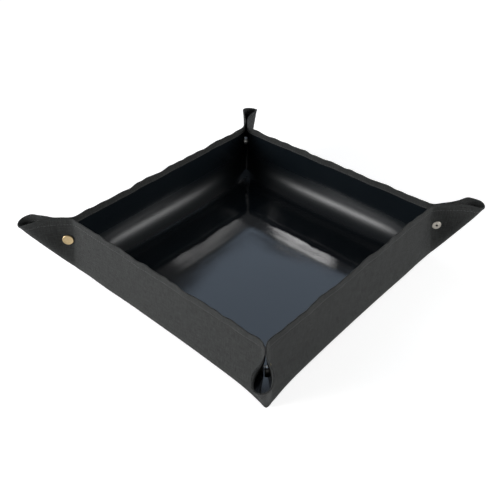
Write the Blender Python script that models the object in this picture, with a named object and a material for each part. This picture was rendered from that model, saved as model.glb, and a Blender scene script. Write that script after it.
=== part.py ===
"""Repotting mat: a square of coated cloth whose four corners snap up into a shallow tray.

The mat is drawn the way it is made. One hemmed square of cloth is divided along its fold lines
into a floor, four walls and, at each corner, the two halves of an ear that stands outwards.
An ear half is a tab with the snap on it, a flank that flares, and a narrow nose. The two noses
of a corner meet in the corner's middle plane. All the folds of an ear half run through one apex
at the floor's corner, so the cloth folds without stretching. The snaps are turned pieces.

Lengths are in metres. The folds turn about the inner, coated face of the cloth.
"""

from math import acos, asin, atan, atan2, cos, hypot, pi, radians, sin, sqrt, tan

import bmesh
import bpy
from mathutils import Matrix, Vector

# The sheet as it is cut and hemmed
CUT_WIDTH = 0.500
WALL_HEIGHT = 0.082
CORNER_RADIUS = 0.050
SHEET_THICKNESS = 0.001
HEM_WIDTH = 0.010
HEM_THICKNESS = 0.001

# The sheet as it is folded
WALL_LEAN = radians(4.5)
NOSE_WIDTH = 0.017
FOLD_CLEARANCE = 0.0003
APEX_RELIEF = 0.0015
HEM_RELIEF = 0.0025
HEM_FADE_SHARE = 0.1

# Where a snap sits on its ear half
SNAP_DROP = 0.032
SNAP_REACH = 0.0085
SNAP_MARGIN = 0.0005
FITTING_CLEARANCE = 0.0002

# Cap: a pressed disc with a raised rim, on a rivet post that is flared inside the socket
CAP_RADIUS = 0.0075
CAP_HEIGHT = 0.0022
CAP_DISC_SHARES = ((0, 0.80), (0.50, 0.78), (0.64, 0.70), (0.74, 0.88), (0.86, 1), (0.96, 0.80), (1, 0.40))
CAP_EDGE_SHARE = 0.95
POST_RADIUS = 0.0020
POST_FLARE_RADIUS = 0.0029
POST_FLARE_THICKNESS = 0.0004

# Socket: a ring with a groove for the wire spring
SOCKET_RADIUS = 0.0062
SOCKET_HEIGHT = 0.0032
SOCKET_PLATE = 0.0005
SOCKET_MOUTH_RADIUS = 0.0037
SOCKET_ROUND = 0.0004
GROOVE_RADIUS = 0.0043
GROOVE_HEIGHT = 0.0009

# Spring: an open ring of wire that grips the neck of the stud
SPRING_RADIUS = 0.0037
SPRING_WIRE_RADIUS = 0.0003
SPRING_OPENING = radians(40)

# Stud: a flange with a ball head, bored for the eyelet's tube
STUD_RADIUS = 0.0060
STUD_FLANGE = 0.0008
HEAD_RADIUS = 0.0032
NECK_RADIUS = 0.0028
HEAD_HEIGHT = 0.0016
HEAD_SHARES = ((0, 0.35), (1, 0.65), (1, 0.80), (0.45, 1))

# Eyelet: a domed ring on a tube that is rolled over the stud's head
EYELET_RADIUS = 0.0060
EYELET_HEIGHT = 0.0011
TUBE_OUTER_RADIUS = 0.0019
TUBE_INNER_RADIUS = 0.0015
ROLL_RADIUS = 0.0024
ROLL_THICKNESS = 0.0003

# Fineness of the round shapes
SIDES_OF_CAP = 28
SIDES_OF_FITTING = 20
SIDES_OF_WIRE = 6
STEPS_OF_SPRING = 22
STEPS_OF_FLANK = 7
STEPS_OF_HEM_EDGE = 4
STEPS_OF_EYELET_DOME = 5

# The walls in order round the tray, each a quarter turn on, and the ends of a wall from outside
SIDES = ("front", "right", "back", "left")
ENDS = {"left": -1, "right": 1}

# Sizes that follow from the ones above
FLOOR_HALF = CUT_WIDTH / 2 - WALL_HEIGHT
LAYER_HALF_GAP = (SOCKET_HEIGHT + STUD_FLANGE + 3 * FITTING_CLEARANCE) / 2
APEX_INSET = sqrt(2) * LAYER_HALF_GAP
POST_HOLE_RADIUS = POST_RADIUS + FITTING_CLEARANCE
TUBE_HOLE_RADIUS = TUBE_OUTER_RADIUS + FITTING_CLEARANCE
OUTER_SEAT = SHEET_THICKNESS + FITTING_CLEARANCE


def crease_tilt():
    """How far the crease of an ear leans over the wall, because the walls lean inwards."""
    return atan(sin(WALL_LEAN))


def snap_height():
    """Distance of the snap's middle from the apex, along the crease."""
    return WALL_HEIGHT / cos(crease_tilt()) - SNAP_DROP


def nose_angle():
    """Angle of the nose at the apex: it widens to half the nose's width at the ear's tip."""
    tip = sqrt(2) * (WALL_HEIGHT - CORNER_RADIUS) + CORNER_RADIUS + LAYER_HALF_GAP
    return atan((NOSE_WIDTH / 2 - LAYER_HALF_GAP) / tip)


def tab_angle():
    """Angle of the tab at the apex: just wide enough for the snap's cap."""
    distance = hypot(SNAP_REACH, snap_height())
    return atan2(SNAP_REACH, snap_height()) + asin((CAP_RADIUS + SNAP_MARGIN) / distance)


def flank_angle():
    """Angle of the flank at the apex: what tab and nose leave of the corner."""
    return radians(45) + crease_tilt() - tab_angle() - nose_angle()


def flank_bend():
    """How far the flank bends outwards from the tab, so that the nose stands square to it."""
    return asin(sin(nose_angle()) / sin(flank_angle()))


def ear_turn():
    """Turn of the tab out of its wall, which brings it parallel to the corner's middle plane."""
    return acos(cos(WALL_LEAN) / sqrt(2))


def nose_turn():
    """Turn of the nose out of the flank, from the right triangle of flank, nose and plane."""
    middle = acos(cos(flank_angle()) / cos(nose_angle()))
    return pi - acos(cos(middle) * sin(flank_bend()))


def new_material(name, colour, roughness, metallic):
    material = bpy.data.materials.new(name)
    material.use_nodes = True
    shader = material.node_tree.nodes["Principled BSDF"]
    shader.inputs["Base Color"].default_value = (*colour, 1)
    shader.inputs["Roughness"].default_value = roughness
    shader.inputs["Metallic"].default_value = metallic
    return material


def finished(name, shape):
    """The mesh of a finished shape, shaded smooth except at its true edges."""
    mesh = bpy.data.meshes.new(name)
    bmesh.ops.recalc_face_normals(shape, faces=shape.faces)
    if shape.calc_volume(signed=True) < 0:
        bmesh.ops.reverse_faces(shape, faces=shape.faces)
    shape.to_mesh(mesh)
    shape.free()
    mesh.shade_smooth()
    mesh.set_sharp_from_angle(angle=radians(35))
    return mesh


def new_object(name, mesh, material, parent=None, matrix=None):
    """A named object, placed by its own matrix inside its parent."""
    mesh.materials.append(material)
    made = bpy.data.objects.new(name, mesh)
    bpy.context.scene.collection.objects.link(made)
    made.parent = parent
    if matrix is not None:
        made.matrix_basis = matrix
    return made


def mirrored(matrix, end):
    """The placing that a matrix made for the right end of a wall has at this end."""
    flip = Matrix.Diagonal((end, 1, 1, 1))
    return flip @ matrix @ flip


def lofted(name, rings, end=1):
    """A closed solid through rings of equal length, capped at its first and last ring."""
    shape = bmesh.new()
    loops = [[shape.verts.new((end * p.x, p.y, p.z)) for p in ring] for ring in rings]
    for first, second in zip(loops, loops[1:]):
        for i in range(len(first)):
            shape.faces.new((first[i - 1], first[i], second[i], second[i - 1]))
    shape.faces.new(loops[0])
    shape.faces.new(loops[-1])
    return finished(name, shape)


def turned(name, profile, sides):
    """A profile of (radius, height) points turned about Z. It ends on the axis or is a loop."""
    shape = bmesh.new()
    points = [shape.verts.new((radius, 0, height)) for radius, height in profile]
    edges = [shape.edges.new(pair) for pair in zip(points, points[1:])]
    if profile[0][0] > 0:
        edges.append(shape.edges.new((points[-1], points[0])))
    bmesh.ops.spin(
        shape,
        geom=points + edges,
        cent=(0, 0, 0),
        axis=(0, 0, 1),
        angle=2 * pi,
        steps=sides,
        use_merge=True,
    )
    bmesh.ops.remove_doubles(shape, verts=shape.verts, dist=FITTING_CLEARANCE / 100)
    return finished(name, shape)


def arc(centre, radius, start, stop, steps):
    """Points of a circular arc, both its ends among them."""
    angles = [start + (stop - start) * i / steps for i in range(steps + 1)]
    return [(centre[0] + radius * cos(a), centre[1] + radius * sin(a)) for a in angles]


def hem_section(fade=1):
    """Cross-section of the hemmed edge, as points of (inset from the edge, depth).

    Depth runs from the inner face to the outer one. The hem is a second layer on the inner
    side, and the edge where the cloth turns over is half round.
    """
    layer = HEM_THICKNESS * fade
    half = (SHEET_THICKNESS + layer) / 2
    middle = (SHEET_THICKNESS - layer) / 2
    turn_over = arc((half, middle), half, pi / 2, 3 * pi / 2, STEPS_OF_HEM_EDGE)
    return turn_over + [(HEM_WIDTH, -layer), (HEM_WIDTH, 0)]


def floor_panel(material):
    """The square on the ground, its corners cut off where the folds of the ears start."""
    half = FLOOR_HALF - FOLD_CLEARANCE
    cut = half - APEX_INSET
    outline = []
    for quarter in range(len(SIDES)):
        turn = Matrix.Rotation(quarter * pi / 2, 3, "Z")
        outline += [turn @ Vector((half, -cut, 0)), turn @ Vector((half, cut, 0))]
    upper = [point + Vector((0, 0, SHEET_THICKNESS)) for point in outline]
    return new_object("floor_panel", lofted("floor_panel", [outline, upper]), material)


def crease_setback():
    """How far the cloth stops short of a crease, so that the folded outer faces stay clear."""
    return FOLD_CLEARANCE + SHEET_THICKNESS * tan(ear_turn() / 2)


def wall_half_length(height):
    """Half the length of a wall at a height above its fold, between its slanted creases."""
    crease = FLOOR_HALF - APEX_INSET - height * tan(crease_tilt())
    return crease - crease_setback() / cos(crease_tilt())


def wall_panel(side, quarter, material):
    """A wall with its hem: one cross-section, cut off on a slant at both ends."""
    section = [(WALL_HEIGHT - inset, depth) for inset, depth in hem_section()]
    section += [(FOLD_CLEARANCE, 0), (FOLD_CLEARANCE, SHEET_THICKNESS)]
    rings = [
        [Vector((end * wall_half_length(height), height, depth)) for height, depth in section]
        for end in ENDS.values()
    ]
    place = (
        Matrix.Rotation(quarter * pi / 2, 4, "Z")
        @ Matrix.Translation((0, -FLOOR_HALF, SHEET_THICKNESS))
        @ Matrix.Rotation(pi / 2 - WALL_LEAN, 4, "X")
    )
    name = f"{side}_wall"
    return new_object(name, lofted(name, rings), material, matrix=place)


def heading(angle):
    """Direction on the flat cloth, at an angle from the crease. X is along the fold, Y is up."""
    return Vector((sin(angle - crease_tilt()), cos(angle - crease_tilt())))


def across(angle):
    """Direction on the flat cloth at right angles to a heading, away from the wall."""
    return Vector((cos(angle - crease_tilt()), -sin(angle - crease_tilt())))


def rim_point(start, along, inset):
    """Where a line on the flat cloth meets the hemmed edge, or a line inset from it.

    The edge runs straight until the rounded corner begins.
    """
    round_start = WALL_HEIGHT - CORNER_RADIUS
    point = start + along * ((WALL_HEIGHT - inset - start.y) / along.y)
    if point.x - APEX_INSET <= round_start:
        return point
    from_centre = start - Vector((round_start + APEX_INSET, round_start))
    halfway = from_centre.dot(along)
    radius = CORNER_RADIUS - inset
    return start + along * (sqrt(halfway**2 - from_centre.length_squared + radius**2) - halfway)


def flank_frame():
    """Directions of the flank in the ear's own frame: along the bend, away from it, outwards."""
    tab, bend = tab_angle(), flank_bend()
    along = Vector((sin(tab), cos(tab), 0))
    away = Vector((cos(bend) * cos(tab), -cos(bend) * sin(tab), sin(bend)))
    return along, away, along.cross(away) * -1


def on_ear(point, depth, facet):
    """A point of the flat cloth at a depth in it, on the folded ear."""
    flat = Vector((point.dot(across(0)), point.dot(heading(0)), 0))
    outwards = Vector((0, 0, 1))
    along, away, normal = flank_frame()
    if facet == "tab":
        return flat + outwards * depth
    if facet == "bend":
        return flat + (outwards + normal) * (depth / (1 + outwards.dot(normal)))
    distance = point.dot(across(tab_angle()))
    return along * point.dot(heading(tab_angle())) + away * distance + normal * depth


def ear_ring(start, rim, facet, fade=1):
    """Cross-section of an ear along one line from near the apex to the hemmed edge."""
    along = (rim - start).normalized()
    ring = [on_ear(rim_point(start, along, inset), depth, facet) for inset, depth in hem_section(fade)]
    return ring + [on_ear(start, 0, facet), on_ear(start, SHEET_THICKNESS, facet)]


def ear_rings():
    """The cross-sections of an ear half, from its crease to its nose."""
    nose_line = tab_angle() + flank_angle()
    crease_start = heading(0) * APEX_RELIEF + across(0) * crease_setback()
    bend_start = heading(tab_angle()) * APEX_RELIEF
    nose_start = heading(nose_line) * APEX_RELIEF - across(nose_line) * FOLD_CLEARANCE
    centre = Vector((0, 0))
    tip = rim_point(centre, heading(nose_line), 0)
    hem_end = nose_line - atan(HEM_RELIEF / tip.length)
    rings = [
        ear_ring(crease_start, rim_point(crease_start, heading(0), 0), "tab"),
        ear_ring(bend_start, rim_point(bend_start, heading(tab_angle()), 0), "bend"),
    ]
    for step in range(1, STEPS_OF_FLANK + 1):
        share = step / (STEPS_OF_FLANK + 1)
        angle = tab_angle() + (hem_end - tab_angle()) * step / STEPS_OF_FLANK
        start = bend_start.lerp(nose_start, share)
        rings.append(ear_ring(start, rim_point(centre, heading(angle), 0), "flank"))
    nose_rim = rim_point(nose_start, heading(nose_line), 0)
    rings.append(ear_ring(nose_start, nose_rim, "flank", HEM_FADE_SHARE))
    return rings


def ear_half(side, end_name, wall, material, hole_radius):
    """One half of an ear, hinged on its wall along the crease, with the hole for its snap."""
    end = ENDS[end_name]
    place = (
        Matrix.Translation((FLOOR_HALF - APEX_INSET, 0, 0))
        @ Matrix.Rotation(crease_tilt(), 4, "Z")
        @ Matrix.Rotation(-ear_turn(), 4, "Y")
    )
    name = f"{side}_{end_name}_ear"
    ear = new_object(name, lofted(name, ear_rings(), end), material, wall, mirrored(place, end))
    cut_hole(ear, end, hole_radius)
    return ear


def cut_hole(ear, end, radius):
    """A round hole through the cloth at the snap's place."""
    shape = bmesh.new()
    bmesh.ops.create_cone(
        shape,
        cap_ends=True,
        segments=SIDES_OF_FITTING,
        radius1=radius,
        radius2=radius,
        depth=4 * SHEET_THICKNESS,
    )
    cutter = bpy.data.objects.new(f"{ear.name}_hole", finished(f"{ear.name}_hole", shape))
    bpy.context.scene.collection.objects.link(cutter)
    cutter.parent = ear
    cutter.matrix_basis = Matrix.Translation((end * SNAP_REACH, snap_height(), 0))
    cutter.hide_render = True
    cutter.display_type = "WIRE"
    hole = ear.modifiers.new("snap_hole", "BOOLEAN")
    hole.operation = "DIFFERENCE"
    hole.solver = "MANIFOLD"
    hole.object = cutter


def nose_rings():
    """The nose on the flat cloth: from the fold beside the flank to the middle of the corner."""
    nose_line = tab_angle() + flank_angle()
    middle = nose_line + nose_angle()
    centre_line = Vector((APEX_INSET, 0)) - across(middle) * (FOLD_CLEARANCE / 2)
    fold_start = (heading(nose_line) + across(nose_line)) * FOLD_CLEARANCE
    centre_start = centre_line + heading(middle) * (FOLD_CLEARANCE - LAYER_HALF_GAP)
    edges = (
        (fold_start, rim_point(fold_start, heading(nose_line), 0)),
        (centre_start, rim_point(centre_start, heading(middle), 0)),
    )
    rings = []
    for depth in (0, SHEET_THICKNESS):
        outline = [edges[0][0], edges[0][1], edges[1][1], edges[1][0]]
        local = [(p.dot(across(nose_line)), p.dot(heading(nose_line))) for p in outline]
        rings.append([Vector((x, y, depth)) for x, y in local])
    return rings


def nose_half(side, end_name, ear, material):
    """One half of the ear's nose, hinged on the flank."""
    end = ENDS[end_name]
    along, away, normal = flank_frame()
    flank = flank_angle()
    fold = along * cos(flank) + away * sin(flank)
    out = away * cos(flank) - along * sin(flank)
    frame = Matrix((out, fold, normal)).transposed().to_4x4()
    place = frame @ Matrix.Rotation(nose_turn(), 4, "Y")
    name = f"{side}_{end_name}_nose"
    return new_object(name, lofted(name, nose_rings(), end), material, ear, mirrored(place, end))


def snap_place(end, inside):
    """Where a fitting sits on an ear half: on the outer face, or turned over on the inner one."""
    place = Matrix.Translation((end * SNAP_REACH, snap_height(), 0))
    if not inside:
        return place
    return place @ Matrix.Translation((0, 0, -FITTING_CLEARANCE)) @ Matrix.Rotation(pi, 4, "X")


def snap_cap(name, ear, end, material):
    """A pressed disc with a raised rim, and the post that rivets it to the socket."""
    seat = OUTER_SEAT
    flare_top = -2 * FITTING_CLEARANCE - SOCKET_PLATE
    profile = [(CAP_RADIUS * across, seat + CAP_HEIGHT * up) for across, up in CAP_DISC_SHARES]
    profile += [
        (CAP_RADIUS * CAP_EDGE_SHARE, seat),
        (POST_RADIUS, seat),
        (POST_RADIUS, flare_top),
        (POST_FLARE_RADIUS, flare_top),
        (POST_FLARE_RADIUS, flare_top - POST_FLARE_THICKNESS / 2),
        (POST_RADIUS, flare_top - POST_FLARE_THICKNESS),
        (0, flare_top - POST_FLARE_THICKNESS),
    ]
    return new_object(name, turned(name, profile, SIDES_OF_CAP), material, ear, snap_place(end, False))


def groove_base():
    """Height of the groove's lower side above the cloth, under the rounded mouth."""
    return SOCKET_HEIGHT - SOCKET_ROUND - GROOVE_HEIGHT


def snap_socket(name, ear, end, material):
    """A ring on a base plate, with a grooved mouth that takes the stud."""
    groove_top = groove_base() + GROOVE_HEIGHT
    profile = [
        (POST_HOLE_RADIUS, 0),
        (SOCKET_RADIUS, 0),
        (SOCKET_RADIUS, SOCKET_HEIGHT - SOCKET_ROUND),
        (SOCKET_RADIUS - SOCKET_ROUND, SOCKET_HEIGHT),
        (GROOVE_RADIUS, SOCKET_HEIGHT),
        (SOCKET_MOUTH_RADIUS, groove_top + SOCKET_ROUND / 2),
        (SOCKET_MOUTH_RADIUS, groove_top),
        (GROOVE_RADIUS, groove_top),
        (GROOVE_RADIUS, groove_base()),
        (SOCKET_MOUTH_RADIUS, groove_base()),
        (SOCKET_MOUTH_RADIUS, SOCKET_PLATE),
        (POST_HOLE_RADIUS, SOCKET_PLATE),
    ]
    mesh = turned(name, profile, SIDES_OF_FITTING)
    return new_object(name, mesh, material, ear, snap_place(end, True))


def snap_spring(name, ear, end, material):
    """The open wire ring in the socket's groove."""
    height = groove_base() + GROOVE_HEIGHT / 2
    sweep = 2 * pi - SPRING_OPENING
    rings = []
    for step in range(STEPS_OF_SPRING + 1):
        turn = Matrix.Rotation(SPRING_OPENING / 2 + sweep * step / STEPS_OF_SPRING, 3, "Z")
        around = arc((SPRING_RADIUS, height), SPRING_WIRE_RADIUS, 0, 2 * pi, SIDES_OF_WIRE)
        rings.append([turn @ Vector((radius, 0, up)) for radius, up in around[:-1]])
    return new_object(name, lofted(name, rings), material, ear, snap_place(end, True))


def snap_stud(name, ear, end, material):
    """A flange with a ball head, bored for the eyelet's tube."""
    profile = [
        (TUBE_HOLE_RADIUS, 0),
        (STUD_RADIUS, 0),
        (STUD_RADIUS, STUD_FLANGE / 2),
        (STUD_RADIUS - STUD_FLANGE / 2, STUD_FLANGE),
        (NECK_RADIUS, STUD_FLANGE),
    ]
    for swell, up in HEAD_SHARES:
        radius = NECK_RADIUS + (HEAD_RADIUS - NECK_RADIUS) * swell
        profile.append((radius, STUD_FLANGE + HEAD_HEIGHT * up))
    profile.append((TUBE_HOLE_RADIUS, STUD_FLANGE + HEAD_HEIGHT))
    mesh = turned(name, profile, SIDES_OF_FITTING)
    return new_object(name, mesh, material, ear, snap_place(end, True))


def snap_eyelet(name, ear, end, material):
    """A domed ring outside the cloth, on a tube that is rolled over the stud's head."""
    seat = OUTER_SEAT
    roll_top = -2 * FITTING_CLEARANCE - STUD_FLANGE - HEAD_HEIGHT
    half_width = (EYELET_RADIUS - TUBE_INNER_RADIUS) / 2
    dome = arc((0, 0), 1, 0, pi, STEPS_OF_EYELET_DOME)
    profile = [
        (TUBE_INNER_RADIUS + half_width * (1 + out), seat + EYELET_HEIGHT * (1 + 2 * up) / 3)
        for out, up in dome
    ]
    profile += [
        (TUBE_INNER_RADIUS, roll_top - ROLL_THICKNESS),
        (ROLL_RADIUS, roll_top - ROLL_THICKNESS),
        (ROLL_RADIUS, roll_top),
        (TUBE_OUTER_RADIUS, roll_top),
        (TUBE_OUTER_RADIUS, seat),
        (EYELET_RADIUS, seat),
    ]
    mesh = turned(name, profile, SIDES_OF_FITTING)
    return new_object(name, mesh, material, ear, snap_place(end, False))


def build_mat():
    coated_cloth = new_material("coated_cloth", (0.021, 0.022, 0.023), 0.75, 0)
    brass = new_material("cap_brass", (0.60, 0.45, 0.20), 0.35, 1)
    nickel = new_material("eyelet_nickel", (0.55, 0.50, 0.42), 0.35, 1)
    steel = new_material("snap_steel", (0.50, 0.50, 0.48), 0.4, 1)
    floor_panel(coated_cloth)
    for quarter, side in enumerate(SIDES):
        wall = wall_panel(side, quarter, coated_cloth)
        cap_ear = ear_half(side, "left", wall, coated_cloth, POST_HOLE_RADIUS)
        nose_half(side, "left", cap_ear, coated_cloth)
        snap_cap(f"{side}_cap", cap_ear, ENDS["left"], brass)
        snap_socket(f"{side}_socket", cap_ear, ENDS["left"], steel)
        snap_spring(f"{side}_spring", cap_ear, ENDS["left"], steel)
        stud_ear = ear_half(side, "right", wall, coated_cloth, TUBE_HOLE_RADIUS)
        nose_half(side, "right", stud_ear, coated_cloth)
        snap_stud(f"{side}_stud", stud_ear, ENDS["right"], steel)
        snap_eyelet(f"{side}_eyelet", stud_ear, ENDS["right"], nickel)


for leftover in list(bpy.data.objects):
    bpy.data.objects.remove(leftover)
build_mat()
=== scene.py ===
# %% [markdown]
# # A fold-up repotting mat
# The real mat is one square of black cloth. One side is coated and shiny, and holds the soil.
# The other side is matt weave, and shows on the outside. Four press studs pinch the corners into
# ears, and the flat square becomes a tray. This lesson dresses a imported model of the mat, whose
# panels already turn about their folds, with a finished cloth.

from math import acos, asin, atan, atan2, cos, hypot, pi, radians, sin, sqrt

import bpy
import numpy as np
from mathutils import Matrix, Vector


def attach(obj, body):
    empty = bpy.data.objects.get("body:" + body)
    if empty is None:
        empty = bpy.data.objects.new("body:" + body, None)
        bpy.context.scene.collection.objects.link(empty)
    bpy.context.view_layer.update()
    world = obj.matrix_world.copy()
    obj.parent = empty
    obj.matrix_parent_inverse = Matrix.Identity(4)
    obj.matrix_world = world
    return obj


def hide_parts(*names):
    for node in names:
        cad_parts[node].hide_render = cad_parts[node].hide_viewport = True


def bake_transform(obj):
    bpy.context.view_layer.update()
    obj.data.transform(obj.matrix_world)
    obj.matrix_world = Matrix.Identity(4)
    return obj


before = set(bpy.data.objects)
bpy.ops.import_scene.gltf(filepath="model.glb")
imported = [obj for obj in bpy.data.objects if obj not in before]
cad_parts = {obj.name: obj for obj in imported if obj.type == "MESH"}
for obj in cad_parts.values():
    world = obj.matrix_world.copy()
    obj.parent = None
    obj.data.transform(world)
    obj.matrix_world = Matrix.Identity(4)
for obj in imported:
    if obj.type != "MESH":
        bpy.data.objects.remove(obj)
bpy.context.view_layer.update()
MM = 0.001

# %% [markdown]
# ## The camera
# The mat was photographed from above its near corner, with a short telephoto view. The camera is
# placed by its heading, its height angle and its distance from a point near the middle of the
# floor, because those are the three things a photographer would change.

# %% Place the camera
PICTURE_WIDTH = 496
FOCAL_PIXELS = 661.0
HEADING = radians(42.9)
HEIGHT_ANGLE = radians(38.16)
CAMERA_ROLL = radians(-0.96)
DISTANCE = 881.2 * MM
LOOK_AT = Vector((-10.0, -0.8, 18.9)) * MM


def placed(name, data):
    """A new object in the scene."""
    thing = bpy.data.objects.new(name, data)
    bpy.context.scene.collection.objects.link(thing)
    return thing


def make_camera():
    back = Vector((sin(HEADING) * cos(HEIGHT_ANGLE), -cos(HEADING) * cos(HEIGHT_ANGLE), sin(HEIGHT_ANGLE)))
    level = Vector((cos(HEADING), sin(HEADING), 0))
    upright = back.cross(level)
    right = level * cos(CAMERA_ROLL) + upright * sin(CAMERA_ROLL)
    up = upright * cos(CAMERA_ROLL) - level * sin(CAMERA_ROLL)
    data = bpy.data.cameras.new("photo_camera")
    data.sensor_width = 36
    data.lens = data.sensor_width * FOCAL_PIXELS / PICTURE_WIDTH
    data.clip_end = 50
    camera = placed("photo_camera", data)
    turn = Matrix((right, up, back)).transposed().to_4x4()
    camera.matrix_world = Matrix.Translation(LOOK_AT + back * DISTANCE) @ turn
    bpy.context.scene.camera = camera
    return camera


camera = make_camera()
print("lens in millimetres:", round(camera.data.lens, 1))

# %% [markdown]
# ## The sheet and its folds
# Every point of the cloth is named by its place (u, v) on the flat square. A fold map then says
# where the creases carry that point: the walls stand up and lean out, and each corner becomes a
# tab beside the wall, a flank, and a narrow nose that is tucked in between the two flanks. These
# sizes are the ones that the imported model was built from, here in millimetres.

# %% Sizes of the sheet
CUT = 500.0
WALL = 82.0
CORNER = 50.0
THICKNESS = 1.0
LEAN = radians(4.5)
NOSE_WIDTH = 17.0
SNAP_DROP = 32.0
SNAP_REACH = 8.5
SNAP_MARGIN = 0.5
CAP_RADIUS = 7.5
LAYER_GAP = 2.3
HALF = CUT / 2 - WALL
INSET = sqrt(2) * LAYER_GAP
TILT = atan(sin(LEAN))
SNAP_HEIGHT = WALL / cos(TILT) - SNAP_DROP
TIP = sqrt(2) * (WALL - CORNER) + CORNER + LAYER_GAP
NOSE = atan((NOSE_WIDTH / 2 - LAYER_GAP) / TIP)
TAB = atan2(SNAP_REACH, SNAP_HEIGHT) + asin((CAP_RADIUS + SNAP_MARGIN) / hypot(SNAP_REACH, SNAP_HEIGHT))
FLANK = radians(45) + TILT - TAB - NOSE
BEND = asin(sin(NOSE) / sin(FLANK))
EAR_TURN = acos(cos(LEAN) / sqrt(2))
NOSE_TURN = pi - acos(cos(acos(cos(FLANK) / cos(NOSE))) * sin(BEND))
SIDES = ("front", "right", "back", "left")
ENDS = {"left": -1, "right": 1}
CORNERS = {"near": (1, -1), "right": (1, 1), "far": (-1, 1), "left": (-1, -1)}
print("floor:", 2 * HALF, "wall:", WALL, "tab and flank:", round(TAB, 3), round(FLANK, 3))


# %% Fold map
def turned(axis, angle):
    c, s = cos(angle), sin(angle)
    rows = {"x": [[1, 0, 0], [0, c, -s], [0, s, c]],
            "y": [[c, 0, s], [0, 1, 0], [-s, 0, c]],
            "z": [[c, -s, 0], [s, c, 0], [0, 0, 1]]}
    return np.array(rows[axis])


def beside_crease(p, w):
    """Distance past the ear's crease, and along it, of a point p past the floor's corner and w up."""
    x = p + INSET
    return x * cos(TILT) + w * sin(TILT), w * cos(TILT) - x * sin(TILT)


def past_nose_line(past, along):
    """Distance past the line where the flank turns into the nose, and along that line."""
    line = TAB + FLANK
    return past * cos(line) - along * sin(line), past * sin(line) + along * cos(line)


def folded_end(p, w):
    """Folded place of points beside the right end of the front wall."""
    past, along = beside_crease(p, w)
    turn = np.arctan2(past, along)
    flat = np.zeros_like(past)
    wall = np.stack([p + HALF, w, flat], -1)
    tab = np.stack([past, along, flat], -1)
    up = np.array([sin(TAB), cos(TAB), 0])
    away = np.array([cos(BEND) * cos(TAB), -cos(BEND) * sin(TAB), sin(BEND)])
    up_flank, off_flank = past * sin(TAB) + along * cos(TAB), past * cos(TAB) - along * sin(TAB)
    flank = up_flank[..., None] * up + off_flank[..., None] * away
    fold = up * cos(FLANK) + away * sin(FLANK)
    out = away * cos(FLANK) - up * sin(FLANK)
    nose_past, nose_along = past_nose_line(past, along)
    nose_frame = np.stack([out, fold, -np.cross(up, away)], 1) @ turned("y", NOSE_TURN)
    nose = np.stack([nose_past, nose_along, flat], -1) @ nose_frame.T
    ear = np.where((turn < TAB)[..., None], tab, np.where((turn < TAB + FLANK)[..., None], flank, nose))
    ear = ear @ turned("y", -EAR_TURN).T @ turned("z", TILT).T + np.array([HALF - INSET, 0, 0])
    place = np.where((turn < 0)[..., None], wall, ear)
    return place @ turned("x", pi / 2 - LEAN).T + np.array([0, -HALF, THICKNESS])


def facing(u, v, side):
    """Flat places turned so that this side is the front one. Minus the side turns them back."""
    c, s = round(cos(side * pi / 2)), round(sin(side * pi / 2))
    return c * u + s * v, c * v - s * u


def folded(u, v):
    """Where the creases carry points of the flat square."""
    u, v = np.asarray(u, float), np.asarray(v, float)
    place = np.stack([u, v, np.full_like(u, THICKNESS)], -1)
    for side in range(4):
        a, b = facing(u, v, side)
        end = folded_end(np.abs(a) - HALF, -b - HALF)
        end[..., 0] *= np.where(a < 0, -1.0, 1.0)
        here = (-b > HALF) & (-b >= np.abs(a))
        place = np.where(here[..., None], end @ turned("z", side * pi / 2).T, place)
    return place


# %% [markdown]
# ## How the photographed mat differs from an even fold
# Cloth is never folded evenly. In the photograph the near ear and the far ear swing a little
# clockwise, seen from above, and the near ear's tip is carried higher than the others. A soft
# shift that grows from the root of each ear to its tip says this in a few numbers.

# %% Lean of each ear
EAR_ROOT = 228.0
EAR_TIP = 297.0
EAR_BEYOND = 1.3
EAR_GROWTH = 1.5
SWING = {"near": -10.0, "right": 0.0, "far": -13.5, "left": 0.0}
RISE = {"near": 8.0, "right": 1.0, "far": 2.0, "left": 1.0}
DRAW_IN = {"near": -5.0, "right": -1.0, "far": 0.0, "left": 0.0}
POINT_OUT = {"near": 8.0, "right": -2.0, "far": 0.0, "left": -2.0}
POINT_REACH = 14.0


def corner_axes(name):
    sx, sy = CORNERS[name]
    return np.array([sx, sy, 0]) / sqrt(2), np.array([-sy, sx, 0]) / sqrt(2)


def ear_ramp(reach):
    return np.clip((reach - EAR_ROOT) / (EAR_TIP - EAR_ROOT), 0, EAR_BEYOND) ** EAR_GROWTH


def leaning(points):
    """Shift of folded points towards the photographed mat's shape."""
    shift = np.zeros_like(points)
    for name in CORNERS:
        outward, sideways = corner_axes(name)
        ramp = ear_ramp(points @ outward)[..., None]
        shift += ramp * (sideways * SWING[name] + outward * DRAW_IN[name] + np.array([0, 0, RISE[name]]))
        root = outward * (HALF * sqrt(2))
        near = np.exp(-((points - root) ** 2).sum(-1) / (2 * POINT_REACH ** 2))
        shift += near[..., None] * outward * POINT_OUT[name]
    return shift


# %% [markdown]
# ## Letting the cloth relax
# An origami fold is too sharp for cloth, so the folded sheet is relaxed. Each step keeps the
# threads at their length, bends the cloth towards the curve that its pressed folds remember, and
# holds it above the table and clear of the layer beside it. Blender's own cloth would do as well,
# but a square grid in NumPy is short, exact about thread lengths, and gives the same sheet on
# every run.

# %% Helpers on a square grid
def ramp(x, width):
    """From 0 at x = 0 to 1 at x = width, and level beyond."""
    return np.clip(x / width, 0, 1)


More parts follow.
